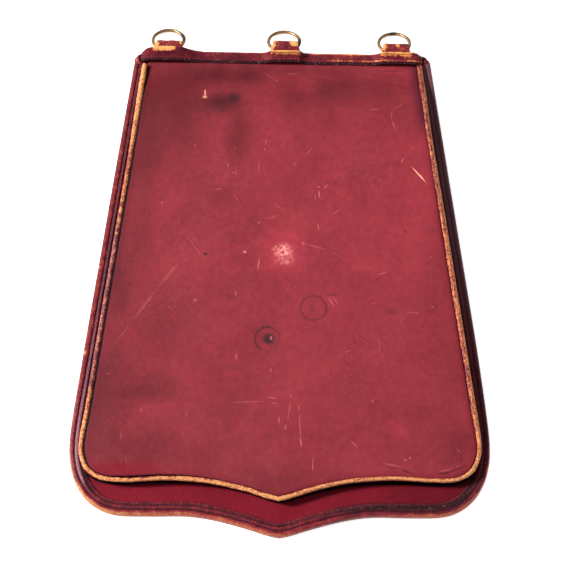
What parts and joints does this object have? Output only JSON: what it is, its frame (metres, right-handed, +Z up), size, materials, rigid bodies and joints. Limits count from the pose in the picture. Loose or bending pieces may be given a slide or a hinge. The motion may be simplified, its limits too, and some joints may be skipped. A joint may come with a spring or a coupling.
{
  "type": "sabretache",
  "caption": "Flat leather sabretache with a flared flap, a bound pocket on its back, a folded top band and leather loops that carry round brass rings.",
  "frame": {"origin": "middle of the underside of the box round the whole object, which lies face down on the ground", "axes": "+Y from the pointed foot toward the rings, +X across to the right as seen from above, +Z up"},
  "size_m": [0.2902, 0.3908, 0.0156],
  "materials": {
    "crimson_leather": "worn grained leather, semi-matt",
    "maroon_leather": "dark rolled leather with a low sheen",
    "tan_worn_leather": "bare leather where the dye has worn off",
    "aged_brass": "dull aged brass wire"
  },
  "bodies": {
    "sabretache": {"flap_panel": "crimson_leather", "flap_binding": "maroon_leather", "pocket_front": "crimson_leather", "pocket_gusset": "maroon_leather", "pocket_back": "crimson_leather", "pocket_binding": "tan_worn_leather", "top_band": "maroon_leather", "corner_cap_left": "maroon_leather", "corner_cap_right": "maroon_leather", "ring_loop_left": "maroon_leather", "ring_loop_middle": "maroon_leather", "ring_loop_right": "maroon_leather"},
    "ring_left": {"ring_left": "aged_brass"},
    "ring_middle": {"ring_middle": "aged_brass"},
    "ring_right": {"ring_right": "aged_brass"}
  },
  "joints": [
    {"name": "ring_left_swing", "type": "hinge", "parent": "sabretache", "child": "ring_left", "pos_m": [-0.084, 0.17549, 0.0091], "axis": [1, 0, 0], "range_deg": [-9, 54]},
    {"name": "ring_middle_swing", "type": "hinge", "parent": "sabretache", "child": "ring_middle", "pos_m": [0.002, 0.17474, 0.0091], "axis": [1, 0, 0], "range_deg": [-9, 54]},
    {"name": "ring_right_swing", "type": "hinge", "parent": "sabretache", "child": "ring_right", "pos_m": [0.084, 0.17384, 0.0091], "axis": [1, 0, 0], "range_deg": [-9, 54]}
  ]
}
